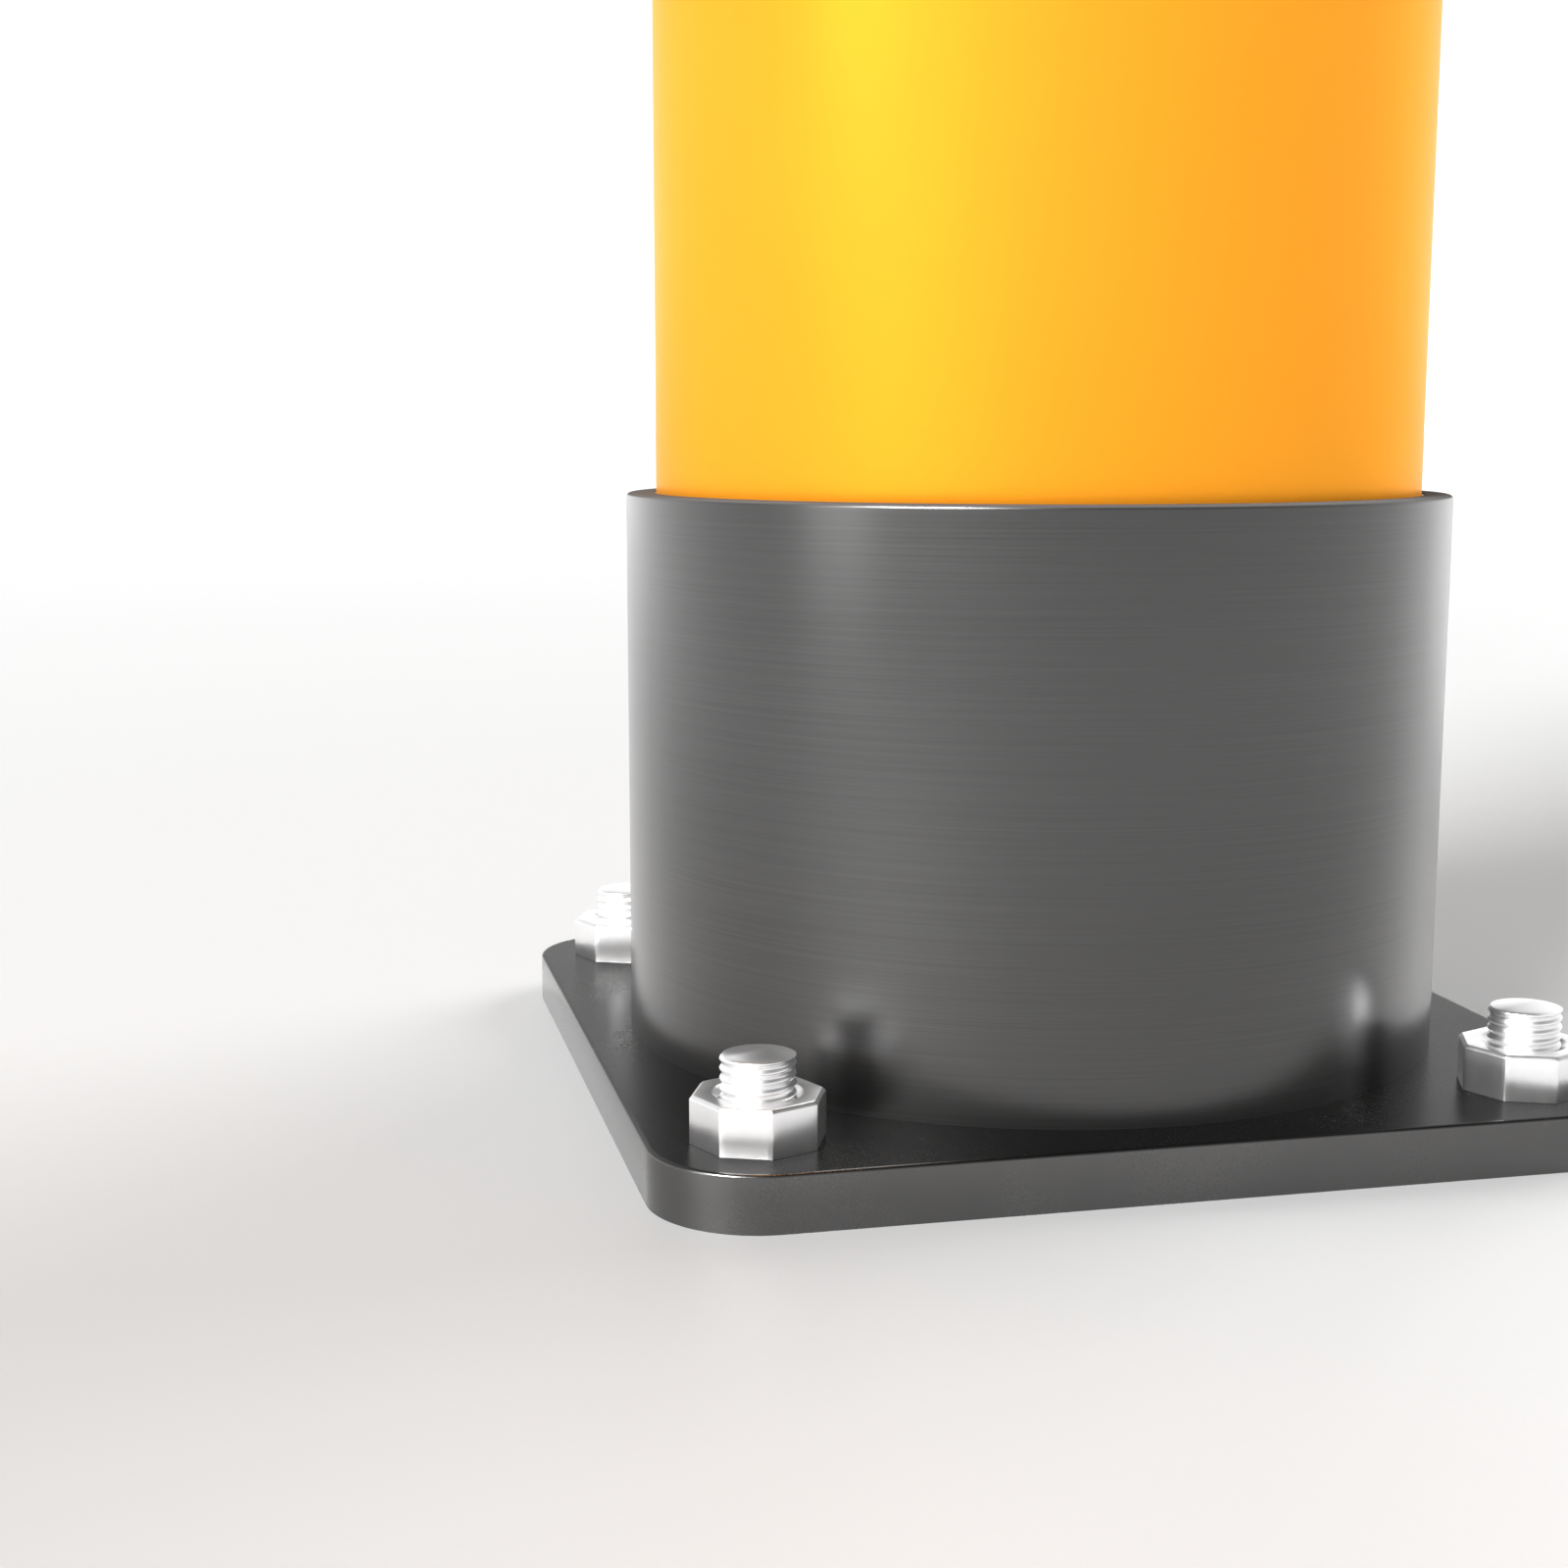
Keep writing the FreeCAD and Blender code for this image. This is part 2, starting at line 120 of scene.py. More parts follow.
class Link:
    """An output socket of a node. Python's operators on it add Math nodes."""

    def __init__(self, sheet, socket):
        self.sheet = sheet
        self.socket = socket

    def math(self, operation, first, second):
        return self.sheet.node("Math", {"operation": operation}, {0: first, 1: second})

    def __add__(self, other):
        return self.math("ADD", self, other)

    def __sub__(self, other):
        return self.math("SUBTRACT", self, other)

    def __rsub__(self, other):
        return self.math("SUBTRACT", other, self)

    def __mul__(self, other):
        return self.math("MULTIPLY", self, other)

    __radd__ = __add__
    __rmul__ = __mul__


class Sheet:
    """The nodes of a material or of the surround."""

    def __init__(self, owner):
        owner.use_nodes = True
        self.owner = owner
        self.tree = owner.node_tree
        self.tree.nodes.clear()

    def node(self, kind, settings=None, sockets=None, output=0):
        """Adds a node: its settings first, then its sockets' values or links."""
        node = self.tree.nodes.new(f"ShaderNode{kind}")
        for name, value in (settings or {}).items():
            if name == "stops":
                self.set_stops(node.color_ramp, value)
            else:
                setattr(node, name, value)
        for name, value in (sockets or {}).items():
            if isinstance(value, Link):
                self.tree.links.new(value.socket, node.inputs[name])
            else:
                node.inputs[name].default_value = value
        return Link(self, node.outputs[output]) if node.outputs else None

    def set_stops(self, ramp, stops):
        """Gives a ramp its stops, each a position and a grey level."""
        while len(ramp.elements) < len(stops):
            ramp.elements.new(1)
        for element, (position, level) in zip(ramp.elements, stops):
            element.position = position
            element.color = (level, level, level, 1)

    def along(self, vector, direction):
        """How far a vector reaches along a direction."""
        return self.node("VectorMath", {"operation": "DOT_PRODUCT"}, {0: vector, 1: direction},
                         output="Value")


class Finish(Sheet):
    """A material in the making."""

    def __init__(self, name):
        super().__init__(bpy.data.materials.new(name))
        self.place = self.node("TexCoord", output="Object")

    def noise(self, scale, detail=3, roughness=0.5, stretch=(1, 1, 1)):
        """Noise from 0 to 1 with so many lumps to a metre, drawn out where stretch is below 1."""
        place = self.node("Mapping", None, {"Vector": self.place, "Scale": stretch})
        return self.node("TexNoise", None, {"Vector": place, "Scale": scale, "Detail": detail,
                                            "Roughness": roughness})

    def ramp(self, value, *stops):
        """A grey level that runs between stops, each given as (value, level)."""
        return self.node("ValToRGB", {"stops": stops}, {"Fac": value})

    def blend(self, factor, first, second):
        """A colour between two, by the factor."""
        sides = {6: self.colour(first), 7: self.colour(second)}
        return self.node("Mix", {"data_type": "RGBA"}, {0: factor, **sides}, output=2)

    def colour(self, value):
        """A colour as a socket takes it."""
        return value if isinstance(value, Link) else (*value, 1)

    def bump(self, height, distance):
        """A bump as deep as distance."""
        return self.node("Bump", None, {"Height": height, "Distance": distance, "Strength": 1.0})

    def wall(self):
        """1 on upright faces and 0 on faces turned up or down, a mask that puts painted sheen on upright
        faces.
        """
        upward = self.along(self.node("TexCoord", output="Normal"), (0, 0, 1))
        return self.ramp(upward * upward, (0.1, 1), (0.5, 0))

    def surface(self, **sockets):
        """Ends the material in one Principled shader with these sockets."""
        named = {name.replace("_", " "): value for name, value in sockets.items()}
        shader = self.node("BsdfPrincipled", None, named)
        self.node("OutputMaterial", None, {"Surface": shader})
        return self.owner


def powder_coat():
    """Glossy yellow powder coat: a warm pearl with faint orange peel."""
    f = Finish("yellow_powder_coat")
    cloud = f.noise(9, detail=2)
    peel = f.noise(900, detail=2, roughness=0.4)
    speck = f.noise(2600, detail=1)
    tone = f.blend(f.ramp(cloud, (0.3, 0), (0.7, 1)), (0.95, 0.345, 0.016), (0.97, 0.37, 0.02))
    return f.surface(
        Base_Color=tone,
        Metallic=0.7,
        Specular_Tint=(1, 0.82, 0.42, 1),
        Roughness=0.33 + speck * 0.04,
        Coat_Weight=0.03,
        Coat_Roughness=0.15,
        Normal=f.bump(peel, 0.012 * MM),
    )


def turned_steel():
    """Dark steel with the fine rings that a lathe leaves. Upright faces get a painted sheen of metal and
    coat, and faces turned up or down stay dull, by which way each face points.
    """
    f = Finish("dark_turned_steel")
    rings = f.noise(40, detail=4, roughness=0.65, stretch=(0.25, 0.25, 60))
    bands = f.noise(14, detail=2, stretch=(0.4, 0.4, 9))
    cloud = f.noise(22, detail=3)
    tone = f.blend(f.ramp(rings, (0.3, 0), (0.7, 1)), (0.056, 0.055, 0.054), (0.07, 0.069, 0.068))
    # Painted sheen by facing: upright faces are metal with a coat, and faces turned up or down are dull
    # with no specular.
    wall = f.wall()
    return f.surface(
        Base_Color=tone,
        Metallic=wall,
        Specular_IOR_Level=0.0,
        Roughness=0.25 + rings * 0.04 + bands * 0.03 + cloud * 0.02,
        Coat_Weight=wall,
        Coat_Roughness=0.27,
        Normal=f.bump(rings, 0.01 * MM),
    )


def plate_steel():
    """The same dark steel as rolled plate, with a soft cloudy sheen and a painted sheen on its upright
    edges.
    """
    f = Finish("dark_plate_steel")
    cloud = f.noise(30, detail=4)
    grain = f.noise(1400, detail=2)
    tone = f.blend(f.ramp(cloud, (0.35, 0), (0.65, 1)), (0.08, 0.079, 0.078), (0.095, 0.093, 0.092))
    return f.surface(
        Base_Color=tone,
        Metallic=1.0,
        Specular_Tint=(0.58, 0.58, 0.58, 1),
        Roughness=0.24 + cloud * 0.04 + grain * 0.02,
        # Painted sheen: the coat lies only on upright faces, by which way each face points.
        Coat_Weight=f.wall(),
        Coat_Roughness=0.14,
        Normal=f.bump(grain, 0.004 * MM),
    )


def bright_zinc():
    """Bright zinc plating with a faint cloudy crystal pattern."""
    f = Finish("bright_zinc")
    cloud = f.noise(260, detail=4, roughness=0.6)
    grain = f.noise(2400, detail=2)
    tone = f.blend(f.ramp(cloud, (0.35, 0), (0.65, 1)), (0.94, 0.94, 0.945), (0.98, 0.98, 0.98))
    return f.surface(
        Base_Color=tone,
        Metallic=1.0,
        Roughness=0.26 + cloud * 0.06 + grain * 0.02,
        Normal=f.bump(cloud, 0.01 * MM),
    )


def moulded_plastic():
    """Dark grey moulded plastic with a spark-eroded grain."""
    f = Finish("dark_moulded_plastic")
    grain = f.noise(1500, detail=3, roughness=0.6)
    cloud = f.noise(25, detail=2)
    tone = f.blend(cloud, (0.03, 0.03, 0.032), (0.042, 0.042, 0.044))
    return f.surface(
        Base_Color=tone,
        Roughness=0.42 + grain * 0.16,
        Normal=f.bump(grain, 0.04 * MM),
    )


def seal_rubber():
    """Matt black rubber."""
    f = Finish("black_rubber")
    grain = f.noise(1800, detail=3)
    tone = f.blend(grain, (0.012, 0.012, 0.012), (0.022, 0.022, 0.022))
    return f.surface(Base_Color=tone, Roughness=0.7 + grain * 0.15, Normal=f.bump(grain, 0.02 * MM))


def weld_metal():
    """Dark weld bead with uneven ripples."""
    f = Finish("dark_weld_metal")
    ripple = f.noise(420, detail=4, roughness=0.6)
    tone = f.blend(ripple, (0.05, 0.049, 0.048), (0.1, 0.097, 0.094))
    return f.surface(
        Base_Color=tone,
        Metallic=1.0,
        Roughness=0.42 + ripple * 0.2,
        Normal=f.bump(ripple, 0.15 * MM),
    )


# ---------------------------------------------------------------- mesh helpers

def reach(node):
    """The outer radius of a turned node that stands on the post's axis."""
    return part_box(node)[1].x


def levels(node):
    """The lowest and highest z of a node."""
    low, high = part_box(node)
    return low.z, high.z


def centre(node):
    """The middle of a node, on the floor."""
    low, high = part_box(node)
    return Vector(((low.x + high.x) / 2, (low.y + high.y) / 2, 0))


def wire(bm, outline, closed=True):
    """Draws an outline of (radius, z) points in the xz plane and gives its points and edges."""
    verts = [bm.verts.new((r, 0, z)) for r, z in outline]
    pairs = zip(verts, verts[1:] + verts[:1] if closed else verts[1:])
    edges = [bm.edges.new(pair) for pair in pairs]
    return verts + edges


def turned(outline, closed=True, steps=ROUND_STEPS):
    """A solid of revolution round the z axis."""
    bm = bmesh.new()
    bmesh.ops.spin(bm, geom=wire(bm, outline, closed), cent=(0, 0, 0), axis=(0, 0, 1),
                   angle=math.tau, steps=steps, use_merge=True)
    close_up(bm)
    return bm


def close_up(bm):
    """Joins doubled points and turns every face outwards."""
    bmesh.ops.remove_doubles(bm, verts=bm.verts, dist=WELD_GAP)
    bmesh.ops.recalc_face_normals(bm, faces=bm.faces)


def radius_of(item):
    """How far a vertex or a point is from the z axis."""
    point = item.co if isinstance(item, bmesh.types.BMVert) else item
    return math.hypot(point.x, point.y)


def ring_edges(bm, radius, height):
    """The edges of the ring at that radius and height."""
    def on_ring(vert):
        return abs(radius_of(vert) - radius) < WELD_GAP and abs(vert.co.z - height) < WELD_GAP
    return [edge for edge in bm.edges if all(on_ring(vert) for vert in edge.verts)]


def soften(bm, edges, width, segments=3):
    """Rounds edges off to a width."""
    bmesh.ops.bevel(bm, geom=edges, offset=width, offset_type="OFFSET", affect="EDGES", segments=segments,
                    profile=0.5, material=-1, clamp_overlap=True)


def soften_rings(bm, width, *rings):
    """Rounds off the rings given as (radius, z)."""
    soften(bm, [edge for r, z in rings for edge in ring_edges(bm, r, z)], width)


def corner_edges(bm, angle):
    """Edges where the surface turns by more than that many degrees."""
    return [edge for edge in bm.edges
            if len(edge.link_faces) == 2 and edge.calc_face_angle() > math.radians(angle)]


def stand_for(bm, node, material, crease=40):
    """Makes the finished piece that is shown in a CAD node's place."""
    name = f"{node}_visual"
    mesh = bpy.data.meshes.new(name)
    bm.to_mesh(mesh)
    bm.free()
    mesh.shade_smooth()
    mesh.set_sharp_from_angle(angle=math.radians(crease))
    mesh.materials.append(material)
    piece = bpy.data.objects.new(name, mesh)
    bpy.context.scene.collection.objects.link(piece)
    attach(piece, "root")
    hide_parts(node)


# ---------------------------------------------------------------- the pieces

def post_tube(paint):
    """The painted tube, open at both ends."""
    outer, bore = reach("post_tube"), reach("foot_disc")
    base, top = levels("post_tube")
    bm = turned([(bore, base), (outer, base), (outer, top), (bore, top)])
    soften_rings(bm, TUBE_EDGE, (outer, base), (outer, top), (bore, top))
    stand_for(bm, "post_tube", paint)


def base_collar(steel):
    """The collar round the tube, with a rounded rim and the seal's groove."""
    outer, bore = reach("base_collar"), reach("collar_weld")
    base, top = levels("base_collar")
    groove = reach("socket_seal") + GROOVE_PLAY
    seal_base, seal_top = levels("socket_seal")
    low, high = seal_base - GROOVE_PLAY, seal_top + GROOVE_PLAY
    bm = turned([(bore, base), (outer, base), (outer, top), (bore, top),
                 (bore, high), (groove, high), (groove, low), (bore, low)])
    soften_rings(bm, RIM_EDGE, (outer, top))
    soften_rings(bm, RIM_EDGE / 2, (bore, top))
    soften_rings(bm, RIM_EDGE / 4, (bore, high), (bore, low))
    stand_for(bm, "base_collar", steel)


def socket_seal(rubber):
    """The seal ring between tube and collar, with rounded lips."""
    outer, bore = reach("socket_seal"), reach("post_tube")
    base, top = levels("socket_seal")
    bm = turned([(bore, base), (outer, base), (outer, top), (bore, top)])
    soften_rings(bm, SEAL_EDGE, (outer, base), (outer, top), (bore, base), (bore, top))
    stand_for(bm, "socket_seal", rubber)


def circle(bm, radius, segments, middle=(0, 0, 0)):
    """A ring on the floor; gives its edges."""
    made = bmesh.ops.create_circle(bm, radius=radius, segments=segments, matrix=Matrix.Translation(middle))
    return list({edge for vert in made["verts"] for edge in vert.link_edges})


def lift(bm, faces, height, keep=False):
    """Extrudes flat faces upwards and gives the raised ones. keep leaves the first as the underside."""
    made = bmesh.ops.extrude_face_region(bm, geom=faces)["geom"]
    verts = [item for item in made if isinstance(item, bmesh.types.BMVert)]
    bmesh.ops.translate(bm, vec=(0, 0, height), verts=verts)
    if not keep:
        bmesh.ops.delete(bm, geom=[face for face in faces if face.is_valid], context="FACES")
    return [item for item in made if isinstance(item, bmesh.types.BMFace)]


def base_plate(steel):
    """The square plate with round corners, four anchor holes and four countersunk screw holes."""
    half = reach("base_plate")
    thick = levels("base_plate")[1]
    screws = [centre(f"foot_screw_{number}") for number in NUMBERS]
    anchors = [centre(f"anchor_stud_{number}") for number in NUMBERS]
    low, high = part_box("foot_screw_1")
    head_r = (high.x - low.x) / 2 + SCREW_SINK
    screw_r = SCREW_R + SCREW_PLAY
    sink = head_r - screw_r
    bm = bmesh.new()
    square = bmesh.ops.create_grid(bm, x_segments=1, y_segments=1, size=half)["verts"]
    bmesh.ops.bevel(bm, geom=square, offset=PLATE_CORNER, offset_type="OFFSET", affect="VERTICES",
                    segments=PLATE_CORNER_STEPS, profile=0.5, material=-1)
    bmesh.ops.delete(bm, geom=bm.faces[:], context="FACES_ONLY")
    for middle in anchors:
        circle(bm, ANCHOR_HOLE_R, HOLE_STEPS, middle)
    for middle in screws:
        circle(bm, head_r, HOLE_STEPS, middle)
    bmesh.ops.triangle_fill(bm, use_beauty=True, edges=bm.edges)
    bmesh.ops.recalc_face_normals(bm, faces=bm.faces)
    waist = lift(bm, bm.faces[:], sink, keep=True)
    for middle in screws:
        ring = [vert for face in waist for vert in face.verts
                if (vert.co - middle).xy.length < head_r * 1.01]
        bmesh.ops.scale(bm, vec=(screw_r / head_r, screw_r / head_r, 1), verts=list(set(ring)),
                        space=Matrix.Translation(-middle))
    top = lift(bm, waist, thick - sink)
    bmesh.ops.inset_region(bm, faces=top, thickness=PLATE_EDGE * 1.5, use_even_offset=True)
    rim = [edge for edge in bm.edges if all(abs(vert.co.z - thick) < WELD_GAP for vert in edge.verts)
           and any(abs(face.normal.z) < 0.5 for face in edge.link_faces)]
    holes = [edge for edge in rim if min((edge.verts[0].co - hole).xy.length for hole in anchors + screws)
             < head_r]
    sides = [edge for edge in rim if edge not in holes]
    soften(bm, sides, PLATE_EDGE)
    soften(bm, holes, HOLE_EDGE, segments=2)
    close_up(bm)
    stand_for(bm, "base_plate", steel)


def top_cap(plastic):
    """The domed cap: a thin shell with a skirt inside the tube and ribs that grip it."""
    rim = reach("top_cap")
    skirt_base, apex = levels("top_cap")
    seat = levels("post_tube")[1]
    bore = reach("foot_disc")
    skirt = bore - CAP_PLAY
    edge_top = seat + CAP_EDGE
    rise = apex - edge_top
    dome_r = (rim ** 2 + rise ** 2) / (2 * rise)
    steps = CAP_RIBS * RIB_STEPS

    def dome(radius, drop):
        """Height of the dome at a radius, or of a shell that lies drop below it."""
        return apex - dome_r + math.sqrt((dome_r - drop) ** 2 - radius ** 2)

    inner_r = skirt - CAP_WALL
    shares = [i / DOME_RINGS for i in range(DOME_RINGS + 1)]
    outside = [(rim * share, dome(rim * share, 0)) for share in shares]
    inside = [(inner_r * share, dome(inner_r * share, CAP_WALL)) for share in reversed(shares)]
    rib_low = skirt_base + RIB_MARGIN
    rib_high = seat - RIB_MARGIN
    outline = outside + [(rim, seat), (skirt, seat), (skirt, rib_high), (skirt, rib_low),
                         (skirt, skirt_base + CAP_LEAD_IN), (skirt - CAP_LEAD_IN, skirt_base),
                         (inner_r, skirt_base)]
    bm = turned(outline + inside, closed=False, steps=steps)
    width = math.tau / steps
    ribs = []
    for face in bm.faces:
        middle = face.calc_center_median()
        turn = math.atan2(middle.y, middle.x) % (math.tau / CAP_RIBS)
        near = min(turn, math.tau / CAP_RIBS - turn)
        on_skirt = abs(radius_of(middle) - skirt) < SKIRT_NEAR and rib_low < middle.z < rib_high
        if on_skirt and near < width:
            ribs.append(face)
    made = bmesh.ops.extrude_face_region(bm, geom=ribs)["geom"]
    bmesh.ops.delete(bm, geom=[face for face in ribs if face.is_valid], context="FACES")
    for vert in made:
        if isinstance(vert, bmesh.types.BMVert):
            vert.co.xy *= (bore - RIB_PLAY) / radius_of(vert)
    close_up(bm)
    soften_rings(bm, CAP_RIM_EDGE, (rim, edge_top), (rim, seat))
    stand_for(bm, "top_cap", plastic, crease=30)


def thread_section(crest, pitch, depth):
    """One pitch of thread, from root to root, as (radius, z) with rounded crest and root."""
    middle = crest - depth / 2
    return [(middle - math.cos(math.tau * i / SECTION_STEPS) * depth / 2, pitch * i / SECTION_STEPS)
            for i in range(SECTION_STEPS + 1)]


def threaded(crest, base, top, pitch, depth):
    """A right-hand thread, trimmed flat at both ends and open there."""
    bm = bmesh.new()
    start = base - 1.5 * pitch
    section = wire(bm, [(r, start + z) for r, z in thread_section(crest, pitch, depth)], closed=False)
    bmesh.ops.spin(bm, geom=section, cent=(0, 0, 0), axis=(0, 0, 1), angle=math.tau,
                   steps=THREAD_STEPS, dvec=(0, 0, pitch / THREAD_STEPS))
    turn = bm.verts[:] + bm.edges[:] + bm.faces[:]
    for i in range(1, math.ceil((top - base) / pitch) + 2):
        copy = bmesh.ops.duplicate(bm, geom=turn)["geom"]
        verts = [item for item in copy if isinstance(item, bmesh.types.BMVert)]
        bmesh.ops.translate(bm, vec=(0, 0, pitch * i), verts=verts)
    bmesh.ops.remove_doubles(bm, verts=bm.verts, dist=WELD_GAP)
    for height, outwards in ((base, -1), (top, 1)):
        bmesh.ops.bisect_plane(bm, geom=bm.verts[:] + bm.edges[:] + bm.faces[:], dist=WELD_GAP / 10,
                               plane_co=(0, 0, height), plane_no=(0, 0, outwards), clear_outer=True)
    return bm


def open_ring(bm, height):
    """The open edges at that height."""
    return [edge for edge in bm.edges if edge.is_boundary
            and all(abs(vert.co.z - height) < WELD_GAP for vert in edge.verts)]


def draw_out(bm, ring, radius, height):
    """Extrudes an open ring to a new radius and height and gives the new ring.
    The radius is a length, or a function of the angle."""
    made = bmesh.ops.extrude_edge_only(bm, edges=ring)["geom"]
    for item in made:
        if isinstance(item, bmesh.types.BMVert):
            target = radius(math.atan2(item.co.y, item.co.x)) if callable(radius) else radius
            item.co.xy *= target / radius_of(item)
            item.co.z = height
    return [item for item in made if isinstance(item, bmesh.types.BMEdge)]


def place_copies(bm, kind, material, crease):
    """Stands one piece, made on the z axis, in the place of each of the four nodes of its kind."""
    for number in NUMBERS:
        node = f"{kind}_{number}"
        copy = bm.copy()
        bmesh.ops.translate(copy, vec=centre(node), verts=copy.verts)
        stand_for(copy, node, material, crease)
    bm.free()


def anchor_studs(zinc):
    """The wedge anchors: threaded above, then shank, neck and cone below the plate."""
    base, top = levels("anchor_stud_1")
    bm = threaded(CREST_R, 0, top, THREAD_PITCH, THREAD_DEPTH)
    bmesh.ops.contextual_create(bm, geom=open_ring(bm, top))
    ring = open_ring(bm, 0)
    neck_top = -SHANK_LENGTH
    neck_base = neck_top - NECK_LENGTH
    for radius, height in ((SHANK_R, 0), (SHANK_R, neck_top), (NECK_R, neck_top), (NECK_R, neck_base),
                           (SHANK_R, base)):
        ring = draw_out(bm, ring, radius, height)
    bmesh.ops.contextual_create(bm, geom=ring)
    close_up(bm)
    place_copies(bm, "anchor_stud", zinc, crease=50)


def anchor_nuts(zinc):
    """The eight-sided nuts, with a bevelled top and countersunk ends."""
    base, top = levels("anchor_nut_1")
    low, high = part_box("anchor_nut_1")
    point_r = (high.x - low.x) / 2
    mouth_r = BORE_R + NUT_SINK
    bm = bmesh.new()
    bmesh.ops.subdivide_edges(bm, edges=circle(bm, point_r, NUT_SIDES), cuts=NUT_CUTS)
    circle(bm, mouth_r, NUT_SIDES * (NUT_CUTS + 1))
    bmesh.ops.bridge_loops(bm, edges=bm.edges)
    bmesh.ops.translate(bm, vec=(0, 0, base), verts=bm.verts)
    bmesh.ops.recalc_face_normals(bm, faces=bm.faces)
    lift(bm, bm.faces[:], top - base, keep=True)
    close_up(bm)
    wall = [edge for edge in bm.edges if all(radius_of(vert) < mouth_r * 1.01 for vert in edge.verts)
            and edge.calc_length() > (top - base) * 0.9]
    cut = bmesh.ops.subdivide_edges(bm, edges=wall, cuts=2)["geom_inner"]
    for vert in cut:
        if isinstance(vert, bmesh.types.BMVert):
            vert.co.xy *= BORE_R / radius_of(vert)
            vert.co.z = base + NUT_SINK if vert.co.z < (base + top) / 2 else top - NUT_SINK
    outline = [edge for edge in bm.edges if all(radius_of(vert) > mouth_r * 1.1
               and abs(vert.co.z - top) < WELD_GAP for vert in edge.verts)]
    soften(bm, outline, NUT_EDGE, segments=1)
    soften(bm, corner_edges(bm, 20), NUT_CORNER, segments=2)
    place_copies(bm, "anchor_nut", zinc, crease=35)


def foot_screws(zinc):
    """The countersunk screws under the plate, with a hexagon socket and a fine thread."""
    base, top = levels("foot_screw_1")
    low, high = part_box("foot_screw_1")
    head_r = (high.x - low.x) / 2
    neck = base + head_r - SCREW_R

    def socket(angle):
        """The hexagon's radius at an angle."""
        return KEY_FLATS / 2 / math.cos((angle % (math.tau / 6)) - math.tau / 12)

    bm = threaded(SCREW_R, neck, top, SCREW_PITCH, SCREW_THREAD)
    bmesh.ops.contextual_create(bm, geom=open_ring(bm, top))
    ring = open_ring(bm, neck)
    for radius, height in ((SCREW_R, neck), (head_r, base + HEAD_LAND), (head_r, base), (socket, base),
                           (socket, base + KEY_DEPTH), (KEY_FLATS / 8, base + KEY_DEPTH + KEY_TIP)):
        ring = draw_out(bm, ring, radius, height)
    bmesh.ops.contextual_create(bm, geom=ring)
    close_up(bm)
    place_copies(bm, "foot_screw", zinc, crease=40)


def dress(node, material):
    """Gives a CAD node that stays shown its material."""
    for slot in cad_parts[node].material_slots:
        slot.material = material


# ---------------------------------------------------------------- studio

def floor():
    """A pale floor whose colour is painted lighter with distance from the post, a painted brightening
    towards the horizon.
    """
    f = Finish("pale_floor")
    distance = f.node("VectorMath", {"operation": "LENGTH"}, {0: f.place}, output="Value")
    # Painted light: the floor's colour grows lighter with distance from the post, standing in for the
    # brightening towards the horizon.
    painted_horizon_light = f.ramp(distance * (1 / FLOOR_FADE), (0.1, 0), (0.8, 1))
    tone = f.blend(painted_horizon_light, (0.255, 0.255, 0.255), (0.32, 0.32, 0.32))
    material = f.surface(Base_Color=tone, Roughness=0.5)
    bm = bmesh.new()
    bmesh.ops.create_circle(bm, cap_ends=True, radius=FLOOR_R, segments=64)
    mesh = bpy.data.meshes.new("floor")
    bm.to_mesh(mesh)
    bm.free()
    mesh.materials.append(material)
    piece = bpy.data.objects.new("floor", mesh)
    bpy.context.scene.collection.objects.link(piece)


def towards(azimuth, elevation):
    """A direction, with azimuth in degrees anticlockwise from +X and elevation above the floor."""
    turn, tilt = math.radians(azimuth), math.radians(elevation)
    return Vector((math.cos(tilt) * math.cos(turn), math.cos(tilt) * math.sin(turn), math.sin(tilt)))


def lamp(name, data, place, mirrored=True):
    """Hangs a lamp at a place, turned to the foot of the post. Glossy pieces show mirrored ones only."""
    piece = bpy.data.objects.new(name, data)
    piece.location = place
    piece.rotation_euler = (AIM - place).to_track_quat("-Z", "Y").to_euler()
    piece.visible_glossy = mirrored
    bpy.context.scene.collection.objects.link(piece)


def far_light(name, azimuth, elevation, spread, strength, mirrored):
    """A soft light from far away. Spread is its width in degrees."""
    data = bpy.data.lights.new(name, "SUN")
    data.angle = math.radians(spread)
    data.energy = strength
    lamp(name, data, AIM + towards(azimuth, elevation) * SUN_DISTANCE, mirrored)


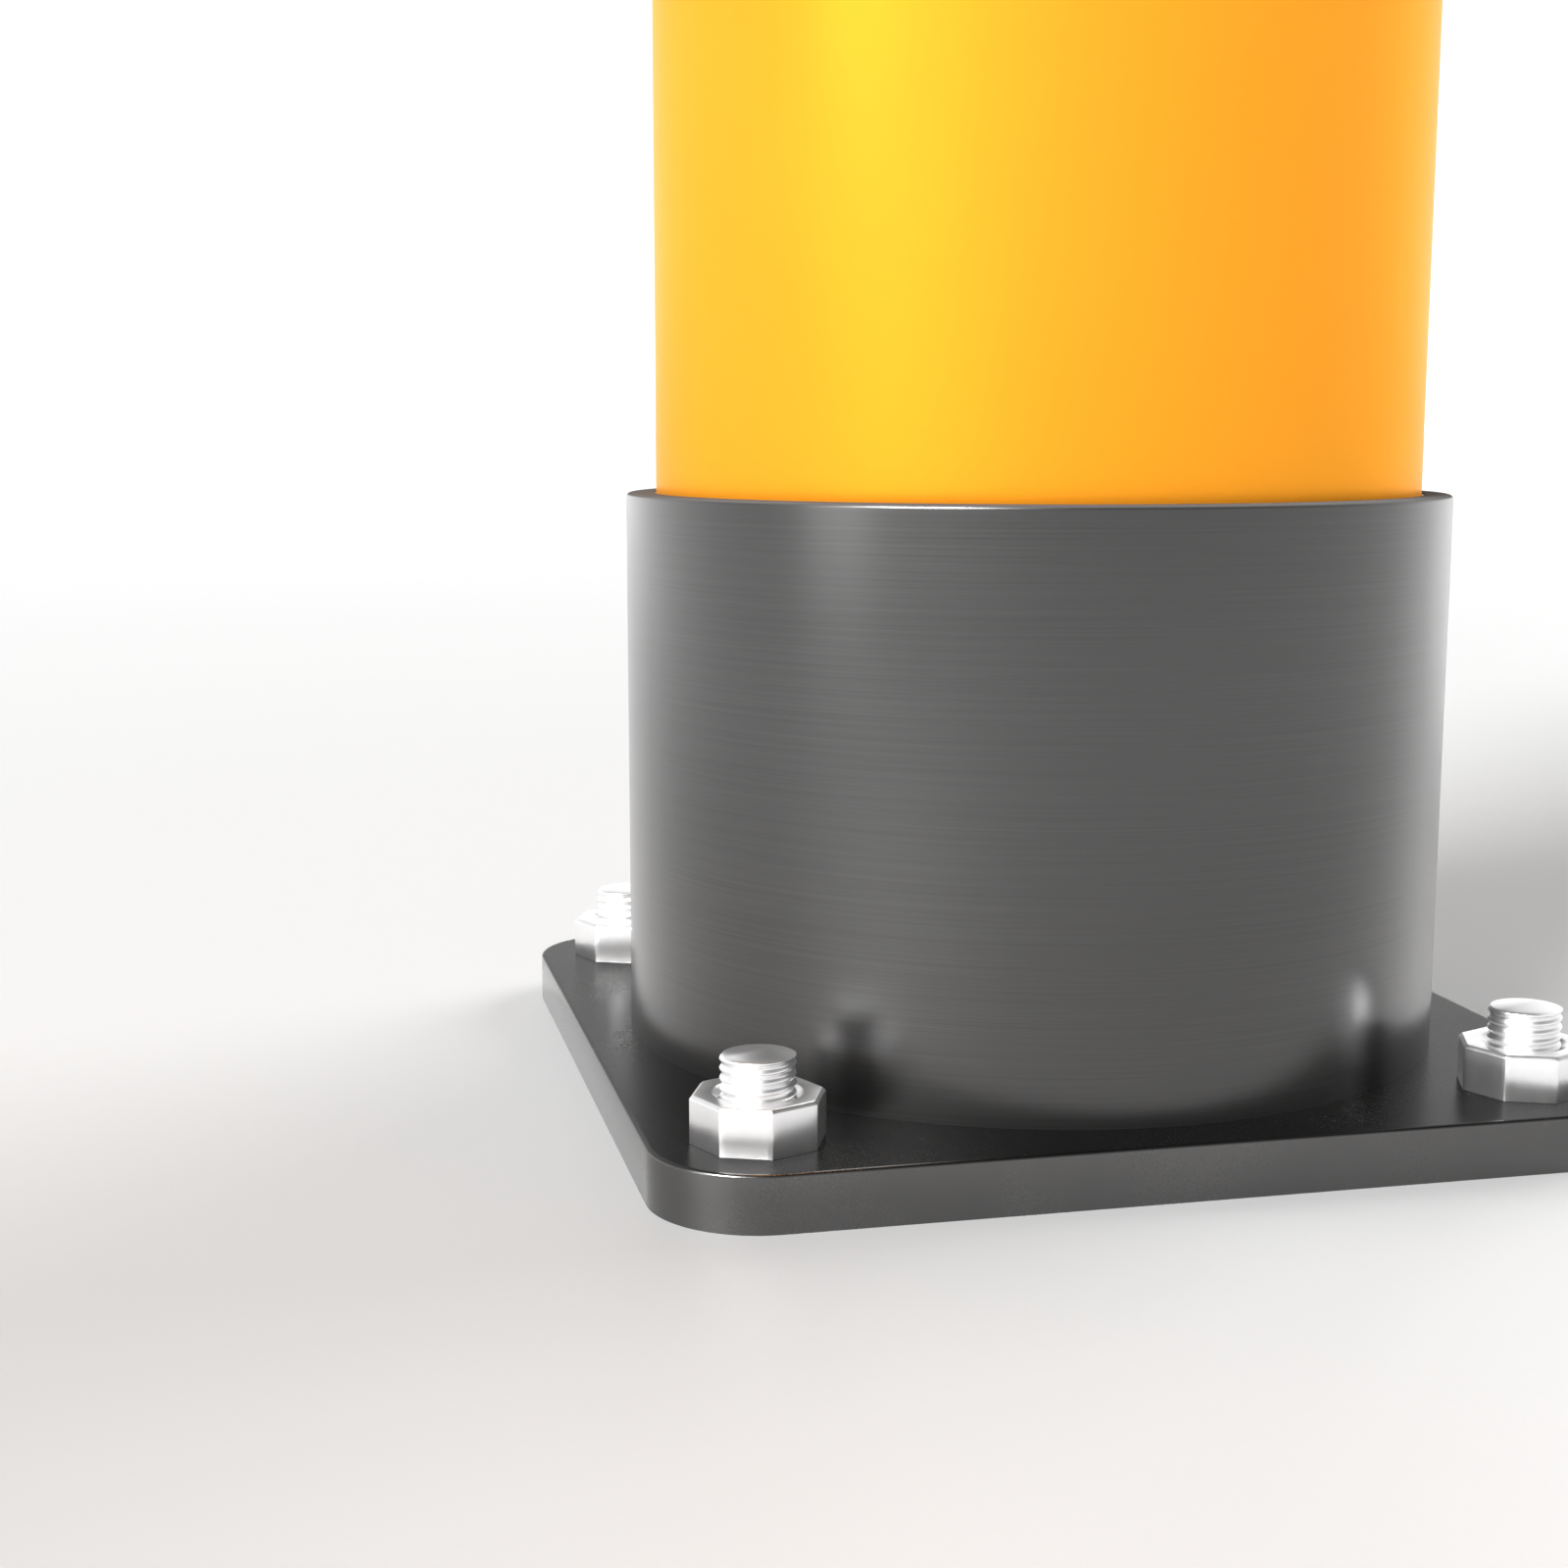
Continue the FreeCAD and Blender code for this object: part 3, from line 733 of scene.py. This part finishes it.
def softbox(name, azimuth, elevation, distance, width, height, power):
    """A soft rectangular light aimed at the foot of the post."""
    data = bpy.data.lights.new(name, "AREA")
    data.shape = "RECTANGLE"
    data.size, data.size_y = width, height
    data.energy = power
    lamp(name, data, AIM + towards(azimuth, elevation) * distance)


def daylight():
    """A white surround, dimmer overhead and brighter behind the post."""
    sheet = Sheet(bpy.data.worlds.new("white_surround"))
    way = sheet.node("TexCoord", output="Generated")
    behind = sheet.node("Math", {"operation": "MAXIMUM"}, {0: sheet.along(way, towards(90, 0)), 1: 0})
    above = sheet.along(way, towards(0, 90))
    strength = SKY_LEVEL + behind * SKY_BACK - above * SKY_FALL
    glow = sheet.node("Background", None, {"Color": (1, 1, 1, 1), "Strength": strength})
    sheet.node("OutputWorld", None, {"Surface": glow})
    bpy.context.scene.world = sheet.owner


def camera():
    """The camera, low in front of one corner of the plate and looking slightly down."""
    data = bpy.data.cameras.new("camera")
    data.sensor_width = SENSOR
    data.lens = FOCAL_LENGTH
    data.clip_start = 0.01
    data.clip_end = 500
    eye = bpy.data.objects.new("camera", data)
    eye.location = EYE
    eye.rotation_euler = (math.radians(EYE_TILT), 0, math.radians(EYE_TURN))
    bpy.context.scene.collection.objects.link(eye)
    bpy.context.scene.camera = eye


paint = powder_coat()
steel = turned_steel()
plate = plate_steel()
zinc = bright_zinc()
plastic = moulded_plastic()
rubber = seal_rubber()
weld = weld_metal()

post_tube(paint)
base_collar(steel)
socket_seal(rubber)
base_plate(plate)
top_cap(plastic)
dress("foot_disc", plate)
dress("foot_weld", weld)
dress("collar_weld", weld)
anchor_studs(zinc)
anchor_nuts(zinc)
foot_screws(zinc)
for number in NUMBERS:
    dress(f"anchor_clip_{number}", zinc)

floor()
daylight()
far_light("front_left_key", azimuth=-145, elevation=48, spread=20, strength=8.8, mirrored=True)
far_light("back_right_fill", azimuth=27, elevation=16, spread=45, strength=10.5, mirrored=False)
softbox("left_strip", azimuth=-161, elevation=27, distance=2.2, width=0.7, height=1.4, power=9)
camera()
bpy.context.scene.view_settings.view_transform = "Standard"
